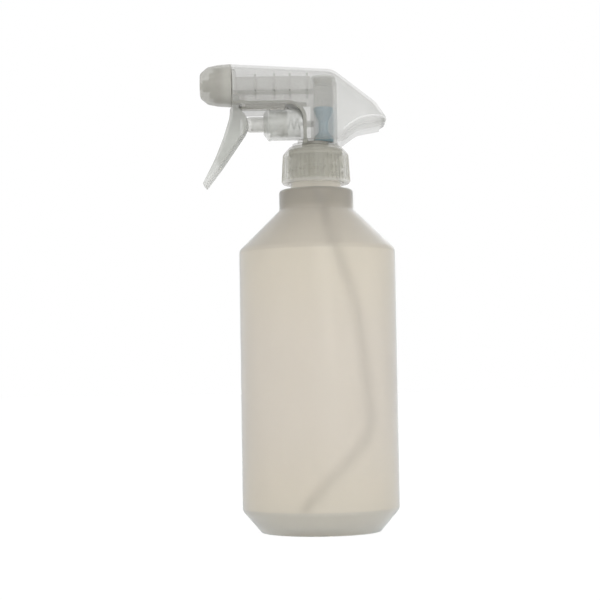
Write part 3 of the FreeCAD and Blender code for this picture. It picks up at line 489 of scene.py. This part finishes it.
bpy.ops.mesh.fill_holes(sides=12)
bpy.ops.mesh.normals_make_consistent(inside=False)
bpy.ops.object.mode_set(mode="OBJECT")
coil.rotation_euler = (0, math.pi / 2, 0)
coil.location = (spring_low.x + wire_radius, 0, spring_axis)
bpy.ops.object.transform_apply(location=True, rotation=True, scale=True)
bpy.ops.object.shade_smooth()
coil.data.materials.append(bright_steel())
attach(coil, "head")
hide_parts("return_spring")
piston_stroke = next(j for j in frame["joints"] if j["name"] == "piston_slide")["range_m"][1]
1 - piston_stroke / free_length
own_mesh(coil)

# ---- Nozzle -------------------------------------------------------------------
# Knob moulded from polypropylene that turns on the stub of the pump body to
# open, spread or shut the spray. Its thin open end is paler.


def nozzle_polypropylene():
    knob = Finish("nozzle_polypropylene", IOR=1.5)
    end_start = -0.0460
    open_end = knob.along("X").past(end_start, soft=0.0020)
    flow = knob.grain(scale=120)
    colour = knob.tint(
        knob.blend(flow, (0.50, 0.49, 0.44), (0.58, 0.57, 0.515)),
        (open_end * 0.4, (0.74, 0.73, 0.68)),
    )
    return knob.feed_surface(colour, 0.30 + flow * 0.14, flow, depth=0.0001, alpha=0.56 + flow * 0.1)


coat(nozzle_polypropylene(), "nozzle_cap")
coat(retainer_polypropylene(), "spinner", "orifice_cup")

# ---- Table, light and camera ----------------------------------------------------
# A plain white table and an even white surround, with four soft lamps. The
# camera stands at half the height of the bottle's body and looks up a little.

table_drop = 0.0004
shadow_kept = 0.1
bpy.ops.object.select_all(action="DESELECT")
bpy.ops.mesh.primitive_plane_add(size=40, location=(0, 0, -table_drop))
table = bpy.context.object
table.name = "table"
bpy.ops.object.transform_apply(location=True, rotation=True, scale=True)
paper = Finish("table_paper")
fibre = paper.grain(scale=40)
pulp = paper.blend(fibre, (0.88, 0.88, 0.88), (0.90, 0.90, 0.90))
paper.feed_surface(pulp, 0.6 + fibre * 0.1, fibre, depth=0.0001)
glow = paper.node("ShaderNodeEmission", {}, {"Strength": 1.06})
seen = paper.seen_rays() * (1 - shadow_kept)
lift = paper.node("ShaderNodeMixShader", {}, {0: seen, 1: paper.surface.outputs[0], 2: glow})
paper.tree.links.new(lift, paper.tree.nodes["Material Output"].inputs["Surface"])
table.data.materials.append(paper.material)

world = bpy.data.worlds.new("studio")
bpy.context.scene.world = world
world.use_nodes = True
sky = Board(world.node_tree)
white = sky.node("ShaderNodeBackground", {}, {"Color": (1, 1, 1, 1), "Strength": 1.0})
dim = sky.node("ShaderNodeBackground", {}, {"Color": (1, 1, 1, 1), "Strength": 0.48})
surround = sky.node("ShaderNodeMixShader", {}, {0: sky.seen_rays(), 1: dim, 2: white})
sky.tree.links.new(surround, sky.tree.nodes["World Output"].inputs["Surface"])


def softbox(name, place, turn, size, power):
    light = bpy.data.lights.new(name, "AREA")
    light.energy, light.size = power, size
    holder = bpy.data.objects.new(name, light)
    holder.location, holder.rotation_euler = place, [math.radians(a) for a in turn]
    bpy.context.scene.collection.objects.link(holder)


softbox("front", place=(0.25, -1.3, 0.55), turn=(74, 0, 11), size=0.5, power=5.6)
softbox("left", place=(-0.9, -0.3, 0.6), turn=(64, 0, -72), size=0.8, power=2.0)
softbox("right", place=(0.9, -0.2, 0.5), turn=(70, 0, 78), size=0.8, power=1.8)
softbox("back", place=(0.3, 1.3, 0.7), turn=(-68, 0, -13), size=0.8, power=2.0)

# Light crosses many clear walls, one behind another.
cycles = bpy.context.scene.cycles
cycles.max_bounces = cycles.transmission_bounces = 20
cycles.transparent_max_bounces = 48

camera_place = Vector((-0.00896, -0.811, 0.0714))
look_up, roll = 93.1, -0.906
eye = bpy.data.cameras.new("camera")
eye.lens = 97.32
eye.sensor_width = 36
eye.clip_start = 0.01
viewer = bpy.data.objects.new("camera", eye)
bpy.context.scene.collection.objects.link(viewer)
tilt = Matrix.Rotation(math.radians(look_up), 4, "X") @ Matrix.Rotation(math.radians(roll), 4, "Z")
viewer.matrix_world = Matrix.Translation(camera_place) @ tilt
bpy.context.scene.camera = viewer

bpy.context.scene.view_settings.view_transform = "Standard"
